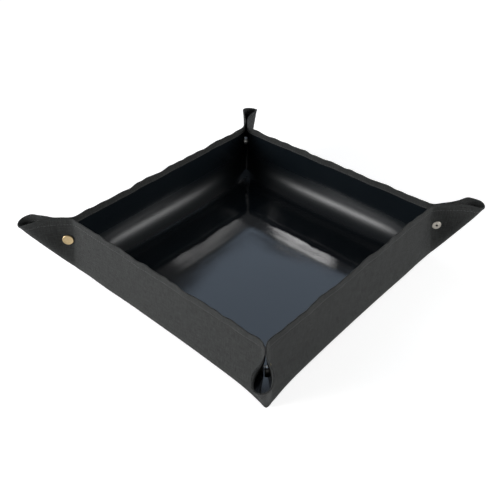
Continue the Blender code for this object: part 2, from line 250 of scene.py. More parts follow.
def blurred(x, cells):
    """Gaussian blur of the sheet, carried on straight past its edges."""
    reach = max(1, int(np.ceil(3 * cells)))
    weights = np.exp(-0.5 * (np.arange(-reach, reach + 1) / cells) ** 2)
    weights /= weights.sum()
    for axis in (0, 1):
        y = np.moveaxis(x, axis, 0)
        before = 2 * y[:1] - y[reach:0:-1]
        after = 2 * y[-1:] - y[-2:-reach - 2:-1]
        whole = np.concatenate([before, y, after])
        x = np.moveaxis(sum(w * whole[i:i + len(y)] for i, w in enumerate(weights)), 0, axis)
    return x


def twice_as_fine(x):
    """The cubic B-spline rule for a grid with half the spacing."""
    for axis in (0, 1):
        y = np.moveaxis(x, axis, 0)
        pad = np.concatenate([2 * y[:1] - y[1:2], y, 2 * y[-1:] - y[-2:-1]])
        fine = np.empty((2 * len(y) - 1,) + y.shape[1:])
        fine[0::2] = (pad[:-2] + 6 * pad[1:-1] + pad[2:]) / 8
        fine[1::2] = (pad[1:-2] + pad[2:-1]) / 2
        x = np.moveaxis(fine, 0, axis)
    return x


def grid_normals(x):
    n = np.cross(np.gradient(x, axis=0), np.gradient(x, axis=1))
    return n / (np.sqrt((n * n).sum(-1, keepdims=True)) + 1e-9)


def rim_distance(u, v):
    """How far flat points are inside the cut edge, with its round corners."""
    a, b = np.abs(u), np.abs(v)
    middle = CUT / 2 - CORNER
    straight = np.minimum(CUT / 2 - a, CUT / 2 - b)
    rounded = CORNER - np.hypot(np.maximum(a - middle, 0), np.maximum(b - middle, 0))
    return np.where((a > middle) & (b > middle), rounded, straight)


def snap_places():
    """Flat places of the press studs: two for each side, left end first."""
    p = SNAP_REACH * cos(TILT) - SNAP_HEIGHT * sin(TILT) - INSET
    w = SNAP_REACH * sin(TILT) + SNAP_HEIGHT * cos(TILT)
    places = {}
    for k, side in enumerate(SIDES):
        for end, sign in ENDS.items():
            places[side, end] = facing(sign * (HALF + p), -(HALF + w), -k)
    return places


# %% [markdown]
# Each fold remembers a curve. In the photograph the folds under the left and the back wall have
# slumped into broad round coves, so their threads are drawn in by 13% there. The other walls'
# folds have stayed small, and the creases beside the ears bend the other way.

# %% What the folds remember
FOLD_MEMORY, FOLD_RADIUS = radians(64), 13.0
FOLD_MARGIN, FOLD_RAMP = 2.0, 12.0
COVE_MEMORY, COVE_RADIUS = radians(68), 44.0
COVE_MARGIN, COVE_RAMP = 8.0, 40.0
COVE_FOOT, COVE_FOOT_TILT = 60.0, radians(16)
COVE_DRAW, COVE_DRAWN = 0.87, (COVE_FOOT + 20, HALF + 50)
CREASE_MEMORY, CREASE_RADIUS = radians(22), 10.0
CREASE_ROOT, CREASE_RAMP = 10.0, 10.0


def under_far_walls(u, v):
    """From 0 to 1: where the cove under the left wall, and under the back wall, is round and broad."""
    ends_u, ends_v = (ramp(HALF - COVE_MARGIN - np.abs(t), COVE_RAMP) for t in (v, u))
    return np.where(u < 0, ends_u, 0.0), np.where(v > 0, ends_v, 0.0)


def remembered_bend(t, other, cove, spacing):
    """Curvature along t that the wall's fold, its cove and the ears' creases keep in the cloth."""
    band = lambda x, width: ramp(width / 2 + spacing / 2 - np.abs(x), spacing)
    broad = COVE_RADIUS * COVE_MEMORY
    foot = COVE_FOOT_TILT / (HALF - broad / 2 - COVE_FOOT)
    fold = band(t - HALF, FOLD_RADIUS * FOLD_MEMORY) / FOLD_RADIUS
    wide = band(t - HALF, broad) / COVE_RADIUS + foot * ((t > COVE_FOOT) & (t < HALF - broad / 2))
    bend = (fold + cove * (wide - fold)) * ramp(HALF - FOLD_MARGIN - other, FOLD_RAMP)
    past_crease = t - (HALF - INSET - (other - HALF) * sin(TILT))
    crease = band(past_crease, CREASE_RADIUS * CREASE_MEMORY) / CREASE_RADIUS
    return bend - crease * ramp(other - HALF - CREASE_ROOT, CREASE_RAMP)


def drawn_threads(t, cove):
    """Length of the threads along t, as a share of the flat cloth's. A cove draws them in."""
    return 1 - (1 - COVE_DRAW) * cove * ((t > COVE_DRAWN[0]) & (t < COVE_DRAWN[1]))


# %% What holds the sheet
BLUR = 5.0
STILL_MIDDLE = 50.0
PINNED_DISC = 7.5
HOLD, CORNER_HOLD_SHARE = 0.008, 0.5
HOLD_FROM, HOLD_RAMP = 15.0, 20.0
COVE_HOLD_RISE = 22.0
HOLD_MARGIN, HOLD_SIDE_RAMP = 5.0, 25.0
POINT_DISC, POINT_RAMP, POINT_HOLD = 9.0, 3.0, 0.5
HEM_REACH, HEM_RAMP, HEM_STIFFNESS = 11.0, 2.0, 0.5


def folded_sheet(spacing):
    """The square grid, where the folds and pressed creases are, and what is held in place."""
    count = int(round(CUT / spacing)) + 1
    line = np.linspace(-CUT / 2, CUT / 2, count)
    u, v = np.meshgrid(line, line, indexing="ij")
    place = folded(u, v)
    place = place + leaning(place)
    a, b = np.abs(u), np.abs(v)
    low, high = np.minimum(a, b), np.maximum(a, b)
    cove_u, cove_v = under_far_walls(u, v)
    free = np.where((a < STILL_MIDDLE) & (b < STILL_MIDDLE), 0.0, 1.0)
    for su, sv in snap_places().values():
        free[np.hypot(u - su, v - sv) < PINNED_DISC] = 0
    up = ramp(high - HALF - HOLD_FROM - COVE_HOLD_RISE * (cove_u + cove_v), HOLD_RAMP)
    along = ramp(HALF - HOLD_MARGIN - low, HOLD_SIDE_RAMP)
    hold = HOLD * up * (CORNER_HOLD_SHARE + (1 - CORNER_HOLD_SHARE) * along)
    hold = np.where(low > HALF - HOLD_MARGIN, HOLD * CORNER_HOLD_SHARE, hold)
    at_point = ramp(POINT_DISC - np.hypot(a - (HALF - INSET / 2), b - (HALF - INSET / 2)), POINT_RAMP)
    hold = np.maximum(hold, POINT_HOLD * at_point)
    target = blurred(place, BLUR / spacing)
    target = target + at_point[..., None] * (place - target)
    stiff = 1 + HEM_STIFFNESS * ramp(HEM_REACH - rim_distance(u, v), HEM_RAMP)
    return dict(u=u, v=v, place=place, free=free[..., None], target=target, hold=hold[..., None],
                stiff=stiff, spacing=spacing,
                bend_u=remembered_bend(a, b, cove_u, spacing), bend_v=remembered_bend(b, a, cove_v, spacing),
                draw_u=drawn_threads(a, cove_u), draw_v=drawn_threads(b, cove_v))


# %% Layers that stay apart
LAYER_CLEARANCE = 0.7
LAYER_SHARE = 0.35
MIDDLE_BAND = 0.1
LAYERS_FROM = HALF + 4


def keep_layers_apart(x, sheet):
    """Pushes each half of an ear back to its own side of the corner's middle."""
    a, b = np.abs(sheet["u"]), np.abs(sheet["v"])
    for name, (sx, sy) in CORNERS.items():
        here = (a > LAYERS_FROM) & (b > LAYERS_FROM) & (sheet["u"] * sx > 0) & (sheet["v"] * sy > 0)
        outward, sideways = corner_axes(name)
        points = x[here]
        # Positive on the half that stands on the sideways side of the corner's middle plane.
        leading = np.where(sx * sy > 0, b[here] - a[here], a[here] - b[here])
        offset = points @ sideways - SWING[name] * ear_ramp(points @ outward)
        least = np.minimum(LAYER_CLEARANCE, np.abs(leading) * LAYER_SHARE)
        wanted = np.where(leading > MIDDLE_BAND, np.maximum(offset, least), np.minimum(offset, -least))
        wanted = np.where(np.abs(leading) <= MIDDLE_BAND, 0.0, wanted)
        x[here] = points + ((wanted - offset) * sheet["free"][here][:, 0])[:, None] * sideways


# %% The relaxing steps
BEND_RATE = 0.08
SHEAR_RATE = 0.6
DRAG = 0.9
PASSES = 3
STRIDES = (1, 2, 4)
DIAGONAL_STRIDES = (1, 2)
BEND_SHARES = (1, 1, 0.5, 0.5)


def neighbours(di, dj):
    """Slices that pair points (di, dj) apart, in two sets that never share a point."""
    sets = []
    for colour in (0, 1):
        if di:
            first, second = slice(colour, -1, 2), slice(colour + 1, None, 2)
            here = (first, slice(max(0, -dj), None if dj <= 0 else -dj))
            there = (second, slice(max(0, dj), None if dj >= 0 else dj))
        else:
            here = (slice(None), slice(colour, -1, 2))
            there = (slice(None), slice(colour + 1, None, 2))
        sets.append((here, there))
    return sets


def seen_from_afar(curve, stride, axis):
    """What a wider stride measures of a curvature that is given for single steps."""
    return sum((stride - abs(k)) * np.roll(curve, -k, axis) for k in range(1 - stride, stride))


def triples(stride):
    """Slices for (before, middle, after) along u, along v and along both diagonals."""
    low, mid, high, whole = slice(None, -2 * stride), slice(stride, -stride), slice(2 * stride, None), slice(None)
    straight = [((low, whole), (mid, whole), (high, whole)), ((whole, low), (whole, mid), (whole, high))]
    diagonal = [((low, low), (mid, mid), (high, high)), ((high, low), (mid, mid), (low, high))]
    return straight + (diagonal if stride in DIAGONAL_STRIDES else [])


def bending_rows(sheet):
    """For each stride: slices of a triple, the curve it remembers and how strongly it bends to it."""
    rate = (sheet["stiff"] * BEND_RATE / 6)[..., None]
    rows = {}
    for stride in STRIDES:
        along_u, along_v = (seen_from_afar(sheet[key] * sheet["spacing"] ** 2, stride, axis)[..., None]
                            for axis, key in enumerate(("bend_u", "bend_v")))
        curves = (along_u, along_v, along_u + along_v, along_u + along_v)
        rows[stride] = [(first, middle, last, curve[middle], rate[middle] * share)
                        for (first, middle, last), curve, share in zip(triples(stride), curves, BEND_SHARES)]
    return rows


def relax(x, sheet, steps, weight):
    free = sheet["free"]
    threads = []
    for di, dj, pull in ((1, 0, 1.0), (0, 1, 1.0), (1, 1, SHEAR_RATE), (1, -1, SHEAR_RATE)):
        for here, there in neighbours(di, dj):
            rest = sheet["spacing"] * np.hypot(di * sheet["draw_u"][here], dj * sheet["draw_v"][here])
            threads.append((here, there, rest[..., None], pull))
    rows = bending_rows(sheet)
    before = x.copy()
    for _ in range(steps):
        speed = (x - before) * DRAG
        before = x.copy()
        x = x + free * speed
        x[..., 2] -= weight * free[..., 0]
        up = grid_normals(x)
        for _ in range(PASSES):
            for stride in STRIDES:
                push = np.zeros_like(x)
                for first, middle, last, curve, rate in rows[stride]:
                    bend = (x[first] - 2 * x[middle] + x[last] - curve * up[middle]) * rate
                    push[first] -= bend
                    push[middle] += 2 * bend
                    push[last] -= bend
                x += push * free
            for here, there, rest, pull in threads:
                gap = x[there] - x[here]
                length = np.sqrt((gap * gap).sum(-1, keepdims=True)) + 1e-9
                share = pull * (length - rest) / (length * np.maximum(free[here] + free[there], 1e-9)) * gap
                x[here] += free[here] * share
                x[there] -= free[there] * share
            x += free * sheet["hold"] * (sheet["target"] - x)
            keep_layers_apart(x, sheet)
            np.maximum(x[..., 2], THICKNESS, out=x[..., 2])
    return x


# %% Relax the sheet, coarse and then fine
COARSE = 4.0
COARSE_STEPS = 150
FINE_STEPS = 40
START_BLUR = 3.0
WEIGHT = 0.002
sheet = folded_sheet(COARSE)
cloth = np.where(sheet["free"] > 0, blurred(sheet["place"], START_BLUR / COARSE), sheet["place"])
cloth = relax(cloth, sheet, COARSE_STEPS, WEIGHT)
sheet = folded_sheet(COARSE / 2)
cloth = np.where(sheet["free"] > 0, twice_as_fine(cloth), sheet["place"])
cloth = relax(cloth, sheet, FINE_STEPS, WEIGHT / 2)
steps = np.sqrt((np.diff(cloth, axis=0) ** 2).sum(-1))
print("mean thread stretch:", round(float(steps.mean() / (COARSE / 2)), 4))

# %% [markdown]
# ## Small waves
# A stitched hem never lies quite straight: the thread draws it in, and it waves by a millimetre.
# The cloth also puckers round each press stud that grips it, and the floor keeps faint waves from
# having been folded. All of these are small shifts along the cloth's own normal.

# %% Waves and puckers
HEM_WAVE = 0.8
HEM_WAVE_REACH = 13.0
HEM_WAVE_LENGTHS = (97.0, 53.0, 31.0, 19.0)
PUCKER, PUCKERS = 0.2, 5
PUCKER_RADIUS, PUCKER_WIDTH = 9.0, 6.0
SNAP_QUIET, SNAP_RAMP = 5.0, 10.0
FLOOR_WAVE, FLOOR_WAVES = 0.07, 9
FLOOR_WAVE_LENGTHS = (45, 130)
FLOOR_WAVE_RAMP = 60.0
random = np.random.RandomState(7)


def small_waves(u, v):
    """Shift along the inward normal, in millimetres, at flat points."""
    inside = np.clip(rim_distance(u, v), 0, None)
    around = (np.arctan2(v, u) / (2 * pi)) * 4 * (CUT - 2 * CORNER + CORNER * pi / 2)
    wave = sum(np.sin(2 * pi * around / length + random.uniform(0, 2 * pi)) * length / HEM_WAVE_LENGTHS[0]
               for length in HEM_WAVE_LENGTHS)
    shift = HEM_WAVE * wave * np.exp(-inside / HEM_WAVE_REACH)
    for su, sv in snap_places().values():
        away = np.hypot(u - su, v - sv)
        turn = np.arctan2(v - sv, u - su)
        ring = np.exp(-((away - PUCKER_RADIUS) / PUCKER_WIDTH) ** 2)
        shift = shift * ramp(away - SNAP_QUIET, SNAP_RAMP)
        shift += PUCKER * ring * np.cos(PUCKERS * turn + su)
    for _ in range(FLOOR_WAVES):
        heading, length = random.uniform(0, pi), random.uniform(*FLOOR_WAVE_LENGTHS)
        run = (u * cos(heading) + v * sin(heading)) / length
        wave = 1 + np.sin(2 * pi * run + random.uniform(0, 2 * pi))
        shift += FLOOR_WAVE / 3 * wave * ramp(inside, FLOOR_WAVE_RAMP)
    return shift


cloth = cloth + grid_normals(cloth) * small_waves(sheet["u"], sheet["v"])[..., None]
print("highest point of the sheet:", round(float(cloth[..., 2].max()), 1))

# %% [markdown]
# ## One smooth surface
# The relaxed grid becomes the control net of a cubic B-spline. Any flat point can then be asked
# for its place, its normal and the direction of the cut edge, so pieces that are cut from the
# same sheet share their borders and their shading exactly.


# %% Ask the sheet
def spline_shares(t):
    """Shares of the four control points around a spot, and how fast they change."""
    shares = np.stack([(1 - t) ** 3, 3 * t ** 3 - 6 * t ** 2 + 4,
                       3 * t + 3 * t ** 2 - 3 * t ** 3 + 1, t ** 3], -1) / 6
    slopes = np.stack([-(1 - t) ** 2, 3 * t ** 2 - 4 * t, 1 + 2 * t - 3 * t ** 2, t ** 2], -1) / 2
    return shares, slopes


net = cloth
for axis in (0, 1):
    lines = np.moveaxis(net, axis, 0)
    net = np.moveaxis(np.concatenate([2 * lines[:1] - lines[1:2], lines, 2 * lines[-1:] - lines[-2:-1]]), 0, axis)


def on_sheet(u, v):
    """Place, slope along u and slope along v of the coated face, at flat points."""
    cells = len(cloth) - 1
    gu, gv = ((np.asarray(t, float) + CUT / 2) / sheet["spacing"] for t in (u, v))
    i, j = np.clip(gu.astype(int), 0, cells - 1), np.clip(gv.astype(int), 0, cells - 1)
    wu, su = spline_shares(gu - i)
    wv, sv = spline_shares(gv - j)
    place, along_u, along_v = (np.zeros(gu.shape + (3,)) for _ in range(3))
    for a in range(4):
        for b in range(4):
            spot = net[i + a, j + b]
            place += (wu[..., a] * wv[..., b])[..., None] * spot
            along_u += (su[..., a] * wv[..., b])[..., None] * spot
            along_v += (wu[..., a] * sv[..., b])[..., None] * spot
    return place, along_u, along_v


def unit(x):
    return x / (np.sqrt((x * x).sum(-1, keepdims=True)) + 1e-12)


# %% [markdown]
# ## Cutting the sheet into pieces
# Each fold of the model is a hinge, so the sheet is cut into one piece for each moving panel: a
# floor, four walls, eight ear halves and eight noses. A piece that crosses a hinge starts a
# little before it. The mesh is a square grid with its outer corners rounded,
# and rings of nodes outside it that carry the hem, so every edge follows the real cut line.

# %% The hem's section
EDGE_RING = 12.0
HEM_LIFT = 0.8
HEM_ROLL = THICKNESS / 2 + HEM_LIFT / 2
HEM_ROLL_LIFT = HEM_LIFT - HEM_ROLL
SEAM = 8.6
SEAM_DIP = 0.45


def hem_section():
    """(distance from the cut edge, lift off the coated face, tilt of the normal) round the hem."""
    inner = [(11.0, 0, 0), (10.4, 0, -10), (10.2, 0.15, -50), (9.9, 0.65, -50), (9.7, HEM_LIFT, -8),
             (SEAM + 0.7, HEM_LIFT, 9), (SEAM, HEM_LIFT - SEAM_DIP, 0), (SEAM - 0.7, HEM_LIFT, -9),
             (6, HEM_LIFT, 0), (4, HEM_LIFT, 0), (2.2, HEM_LIFT, 0)]
    roll = [(HEM_ROLL * (1 - cos(radians(t))), HEM_ROLL_LIFT + HEM_ROLL * sin(radians(t)), 90 - t)
            for t in range(90, -91, -30)]
    outer = [(t, -THICKNESS + dip, 180 - lean) for t, dip, lean in
             ((2.2, 0, 0), (4, 0, 0), (6, 0, 0), (SEAM - 0.7, 0, -9), (SEAM, SEAM_DIP, 0), (SEAM + 0.7, 0, 9),
              (11.0, 0, 0))]
    return inner + roll + outer


# %% Nodes of the whole sheet
GRID = 2.0
EDGE_WAVE = 1.1
EDGE_WAVES = (23, 41, 67, 97)


def grid_nodes():
    """Flat places of the inner grid and, in order round it, its border with the outward direction."""
    reach = CUT / 2 - EDGE_RING
    radius = CORNER - EDGE_RING
    line = np.arange(-reach, reach + GRID / 2, GRID)
    a, b = np.meshgrid(line, line, indexing="ij")
    middle = CUT / 2 - CORNER
    qa, qb = np.clip(np.abs(a) - middle, 0, None), np.clip(np.abs(b) - middle, 0, None)
    u = np.sign(a) * (np.minimum(np.abs(a), middle) + qa * np.sqrt(1 - qb ** 2 / (2 * radius ** 2)))
    v = np.sign(b) * (np.minimum(np.abs(b), middle) + qb * np.sqrt(1 - qa ** 2 / (2 * radius ** 2)))
    n = len(line)
    ids = np.arange(n * n).reshape(n, n)
    border = np.concatenate([ids[:-1, 0], ids[-1, :-1], ids[:0:-1, -1], ids[0, :0:-1]])
    flat = np.stack([u.ravel(), v.ravel()], -1)
    outward = (flat[border] - np.clip(flat[border], -middle, middle)) / radius
    return n, ids, flat, border, outward


count, ids, flat, border, outward = grid_nodes()
section = hem_section()
edge_steps = np.arange(len(border)) * 2 * pi / len(border)
edge_wave = EDGE_WAVE * sum(np.sin(waves * edge_steps + waves) for waves in EDGE_WAVES) / len(EDGE_WAVES)
drawn_in = [(edge_wave * np.clip(1 - t / SEAM, 0, 1))[:, None] for t, _, _ in section]
rings = [flat[border] + outward * (EDGE_RING - t + wave) for (t, _, _), wave in zip(section, drawn_in)]
all_flat = np.concatenate([flat, flat] + rings)
layers = [(len(flat), 0, 0), (len(flat), -THICKNESS, 180)] + [(len(border), h, tilt) for _, h, tilt in section]
sizes, lifts, tilts = (np.array(values, float) for values in zip(*layers))
lift, lean = (np.repeat(values, sizes.astype(int)) for values in (lifts, np.radians(tilts)))
outward_all = np.zeros_like(all_flat)
outward_all[2 * len(flat):] = np.tile(outward, (len(section), 1))
place, along_u, along_v = on_sheet(all_flat[:, 0], all_flat[:, 1])
up = unit(np.cross(along_u, along_v))
edge_way = unit(along_u * outward_all[:, :1] + along_v * outward_all[:, 1:] + up * 1e-9)
node_place = (place + up * lift[:, None]) * MM
node_normal = unit(up * np.cos(lean)[:, None] + edge_way * np.sin(lean)[:, None])
print("nodes of the sheet:", len(node_place))

# %% [markdown]
# ## Which piece a spot belongs to
# A wall piece starts 8 mm inside the floor, an ear piece 9 mm before its crease, and a nose piece
# 4 mm before its line, so that each bend lies wholly in one piece. Beside the floor's corners,
# where the folds are sharp, the floor runs right up to them.

# %% Sort the grid's cells into pieces
WALL_START = 8.0
EAR_START = 9.0
NOSE_START = 4.0
NOSE_ROOT = 10.0
SHARP_CORNER = 14.0
SHARP_MARGIN = 1.0
FIRST_EAR, FIRST_NOSE = 5, 13
piece_names = ["floor_cloth"] + [f"{side}_wall_cloth" for side in SIDES]
piece_names += [f"{side}_{end}_{part}_cloth" for part in ("ear", "nose") for side in SIDES for end in ENDS]


def piece_of(u, v):
    """Number, in piece_names, of the piece that holds each flat point."""
    a, b = np.abs(u), np.abs(v)
    low, high = np.minimum(a, b), np.maximum(a, b)
    floor = (high < HALF - WALL_START) | ((low > HALF - SHARP_CORNER) & (high < HALF - SHARP_MARGIN))
    piece = np.zeros(np.shape(u), int)
    for side in range(4):
        across, down = facing(u, v, side)
        here = ~floor & (-down >= np.abs(across))
        past, along = beside_crease(np.abs(across) - HALF, -down - HALF)
        nose_past, nose_along = past_nose_line(past, along)
        end = np.where(across > 0, 1, 0)
        value = np.where(past < -EAR_START, 1 + side, FIRST_EAR + 2 * side + end)
        in_nose = (past > 0) & (nose_past > -NOSE_START) & (nose_along > NOSE_ROOT)
        value = np.where(in_nose, FIRST_NOSE + 2 * side + end, value)
        piece = np.where(here, value, piece)
    return piece


def grid_cells():
    """Counter-clockwise cells of the grid, split where a corner's diagonal crosses them."""
    cells = []
    for i in range(count - 1):
        for j in range(count - 1):
            a, b, c, d = ids[i, j], ids[i + 1, j], ids[i + 1, j + 1], ids[i, j + 1]
            if i == j:
                cells += [(a, b, c), (a, c, d)]
            elif i + j == count - 2:
                cells += [(a, b, d), (b, c, d)]
            else:
                cells.append((a, b, c, d))
    return cells


cells = grid_cells()
centres = np.array([flat[list(cell)].mean(0) for cell in cells])
cell_piece = piece_of(centres[:, 0] * (1 - 1e-9), centres[:, 1])
edge_piece = {}
for cell, number in zip(cells, cell_piece):
    for k in range(len(cell)):
        edge_piece[cell[k], cell[(k + 1) % len(cell)]] = number
ring_piece = [edge_piece[border[k], border[(k + 1) % len(border)]] for k in range(len(border))]
print("cells:", len(cells), "in", len(set(cell_piece)), "pieces")

# %% Build each piece as one closed shell
COATING_ROWS = 3
pieces = {}


def shell_faces(number):
    """Faces of one piece as (nodes, finish, is a cut face)."""
    faces = []
    for cell, owner in zip(cells, cell_piece):
        if owner != number:
            continue
        faces.append((cell, 0, False))
        faces.append((tuple(node + len(flat) for node in reversed(cell)), 1, False))
        for k in range(len(cell)):
            p, q = cell[k], cell[(k + 1) % len(cell)]
            if edge_piece.get((q, p), number) != number:
                faces.append(((p + len(flat), q + len(flat), q, p), 1, True))
    total = len(border)
    ring_node = lambda r, k: 2 * len(flat) + r * total + k
    round_edge = lambda k: [border[k], *(ring_node(r, k) for r in range(len(section))), border[k] + len(flat)]
    for k in range(total):
        if ring_piece[k] != number:
            continue
        here, there = round_edge(k), round_edge((k + 1) % total)
        for r in range(len(here) - 1):
            faces.append(((here[r + 1], there[r + 1], there[r], here[r]), 0 if r < COATING_ROWS else 1, False))
        if ring_piece[(k + 1) % total] != number:
            faces.append((tuple(there), 1, True))
        if ring_piece[k - 1] != number:
            faces.append((tuple(reversed(here)), 1, True))
    return faces


def new_mesh(name, places, faces, finishes):
    mesh = bpy.data.meshes.new(name)
    mesh.from_pydata(places, [], faces)
    for finish in finishes:
        mesh.materials.append(finish)
    mesh.polygons.foreach_set("use_smooth", [True] * len(faces))
    return mesh


def cloth_piece(number, finishes):
    faces = shell_faces(number)
    used = sorted({node for nodes, _, _ in faces for node in nodes})
    slot_of = {node: k for k, node in enumerate(used)}
    own_faces = [[slot_of[n] for n in nodes] for nodes, _, _ in faces]
    mesh = new_mesh(piece_names[number], node_place[used].tolist(), own_faces, finishes)
    mesh.polygons.foreach_set("material_index", [finish for _, finish, _ in faces])
    corners = np.array([n for nodes, _, _ in faces for n in nodes])
    uv = mesh.uv_layers.new(name="flat_cloth")
    uv.data.foreach_set("uv", ((all_flat[corners] + CUT / 2) * MM).ravel())
    sizes = np.array([len(nodes) for nodes, _, _ in faces])
    cut = np.repeat([is_cut for _, _, is_cut in faces], sizes)
    own = np.repeat(np.array([p.normal[:] for p in mesh.polygons]), sizes, axis=0)
    mesh.normals_split_custom_set(np.where(cut[:, None], own, node_normal[corners]).tolist())
    mesh.update()
    return placed(piece_names[number], mesh)


# %% [markdown]
# ## The cloth's finishes
# The outside is a plain weave of dull black yarn: each thread rises over one neighbour and dives
# under the next. The pattern runs in the flat cloth's own coordinates, which are kept as a UV map
# in metres, so the weave turns with every fold. The inside is the same cloth under a smooth
# coating, which shows only a trace of the weave. The flat floor mirrors like dark glass. Along the
# folds the coating has been bent and rubbed, so it is duller there, and a lamp's mirror image
# spreads into a soft pale band.

# %% Node helpers
GRAIN = (0.3, 0.7)


def set_inputs(tree, node, values):
    """Sets a node's inputs to plain values, or links them to other nodes' outputs."""
    for key, value in values.items():
        if isinstance(value, bpy.types.NodeSocket):
            tree.links.new(value, node.inputs[key])
        else:
            node.inputs[key].default_value = value


def add_node(tree, kind, inputs=None, **settings):
    node = tree.nodes.new(kind)
    for key, value in settings.items():
        setattr(node, key, value)
    set_inputs(tree, node, inputs or {})
    return node


def new_finish(name, colour, roughness, metallic=0.0):
    finish = bpy.data.materials.new(name)
    finish.use_nodes = True
    tree = finish.node_tree
    shader = tree.nodes["Principled BSDF"]
    set_inputs(tree, shader, {"Base Color": (*colour, 1), "Roughness": roughness, "Metallic": metallic})
    finish.diffuse_color = (*colour, 1)
    return finish, tree, shader


def maths(tree, operation, *values):
    return add_node(tree, "ShaderNodeMath", dict(enumerate(values)), operation=operation).outputs[0]


def split(tree, vector):
    return add_node(tree, "ShaderNodeSeparateXYZ", {0: vector}).outputs


def noise(tree, vector, scale, detail=3.0, roughness=0.5):
    inputs = {"Vector": vector, "Scale": scale, "Detail": detail, "Roughness": roughness}
    return add_node(tree, "ShaderNodeTexNoise", inputs).outputs["Fac"]


def mapped(tree, amount, start, stop, low, high, **settings):
    """An amount's run from start to stop, mapped to low to high and level beyond."""
    inputs = {"Value": amount, "From Min": start, "From Max": stop, "To Min": low, "To Max": high}
    return add_node(tree, "ShaderNodeMapRange", inputs, **settings).outputs["Result"]


def between(tree, grain, low, high):
    """A noise's middle part, spread from low to high."""
    return mapped(tree, grain, *GRAIN, low, high)


def mixed(tree, amount, first, second):
    """A colour between two others."""
    first, second = ((*value, 1) if isinstance(value, tuple) else value for value in (first, second))
    return add_node(tree, "ShaderNodeMix", {0: amount, 6: first, 7: second}, data_type="RGBA").outputs[2]


def bumped(tree, height, distance, strength, below=None):
    """A bump on the plain surface, or on top of the bump below."""
    inputs = {"Height": height, "Distance": distance, "Strength": strength}
    if below is not None:
        inputs["Normal"] = below
    return add_node(tree, "ShaderNodeBump", inputs).outputs["Normal"]


# %% Height of a weave
WEAVE_PITCH = 0.00065
YARN_FLAT, YARN_ROUND = 0.6, 0.4


def weave_height(tree):
    """Height, from 0 to 1, of a plain weave of threads, and the flat cloth's coordinates."""
    flat_uv = add_node(tree, "ShaderNodeUVMap", uv_map="flat_cloth").outputs["UV"]
    x, y, _ = split(tree, flat_uv)
    across, along = (maths(tree, "ABSOLUTE", maths(tree, "SINE", maths(tree, "MULTIPLY", t, pi / WEAVE_PITCH)))
                     for t in (x, y))
    cell = maths(tree, "ADD", *(maths(tree, "FLOOR", maths(tree, "DIVIDE", t, WEAVE_PITCH)) for t in (x, y)))
    over = maths(tree, "MODULO", cell, 2.0)
    rounding = lambda t: maths(tree, "ADD", maths(tree, "MULTIPLY", t, YARN_ROUND), YARN_FLAT)
    warp = maths(tree, "MULTIPLY", across, rounding(along))
    weft = maths(tree, "MULTIPLY", along, rounding(across))
    under = maths(tree, "SUBTRACT", 1.0, over)
    height = maths(tree, "ADD", maths(tree, "MULTIPLY", warp, over), maths(tree, "MULTIPLY", weft, under))
    return height, flat_uv


# %% Matt weave of the outside
WARP_RUN, WEFT_RUN = (760.0, 90.0, 1.0), (90.0, 760.0, 1.0)
RUN_RANGE = (0.80, 1.20)
CLOUDS, SLUBS = 14.0, 420.0
# Painted shade and painted highlight: the weave's hollows get a darker colour and its raised crests a lighter one.
YARN_HOLLOW_SHADE, YARN_CREST_HIGHLIGHT = (0.012, 0.0125, 0.0125), (0.047, 0.0495, 0.0490)
YARN_WORN, WORN_RANGE = (0.034, 0.0355, 0.0350), (0.0, 0.6)
WEAVE_ROUGHNESS = (0.78, 0.95)
WEAVE_BUMP, SLUB_BUMP = 0.00018, 0.00012


def yarn_runs(tree, flat_uv, stretch):
    """Lighter and darker runs along the threads, as multipliers near 1."""
    longer = add_node(tree, "ShaderNodeVectorMath", {0: flat_uv, 1: stretch}, operation="MULTIPLY").outputs[0]
    return between(tree, noise(tree, longer, 1.0, 2.0), *RUN_RANGE)


def weave_finish():
    finish, tree, shader = new_finish("coated_cloth_weave", (0.022, 0.023, 0.024), 0.85)
    height, flat_uv = weave_height(tree)
    cloudy = noise(tree, flat_uv, CLOUDS, 4.0)
    slubs = noise(tree, flat_uv, SLUBS, 2.0)
    uneven = maths(tree, "MULTIPLY", *(yarn_runs(tree, flat_uv, run) for run in (WARP_RUN, WEFT_RUN)))
    # Painted light: by the weave's height, the colour runs from painted shade in the hollows to a painted highlight
    # on the raised crests.
    yarn = mixed(tree, height, YARN_HOLLOW_SHADE, YARN_CREST_HIGHLIGHT)
    # Real wear patches are mixed over the painted crest highlights and hollow shade.
    wear_and_crest_highlight = mixed(tree, between(tree, cloudy, *WORN_RANGE), yarn, YARN_WORN)
    shade = add_node(tree, "ShaderNodeVectorMath", {0: wear_and_crest_highlight, "Scale": uneven}, operation="SCALE")
    coarse = bumped(tree, slubs, SLUB_BUMP, 0.6)
    set_inputs(tree, shader, {
        "Base Color": shade.outputs[0], "Roughness": between(tree, slubs, *WEAVE_ROUGHNESS),
        "Normal": bumped(tree, height, WEAVE_BUMP, 0.8, coarse), "Specular IOR Level": 0.15,
        "Sheen Weight": 0.03, "Sheen Roughness": 0.6})
    return finish


# %% Coating of the inside
SCUFFS, CREASES = 26.0, 42.0
COAT_DARK, COAT_LIGHT = (0.0040, 0.0060, 0.0080), (0.0068, 0.0095, 0.0120)
COAT_ROUGHNESS = (0.05, 0.09)
CREASE_BUMP, WEAVE_TRACE = 0.00006, 0.000004
SCUFF_RISE = (126.0, 172.0)
SCUFF_FALL = (192.0, 212.0)
FREE_WALL_SHARE = 0.12
FOLD_SCUFF = 0.32


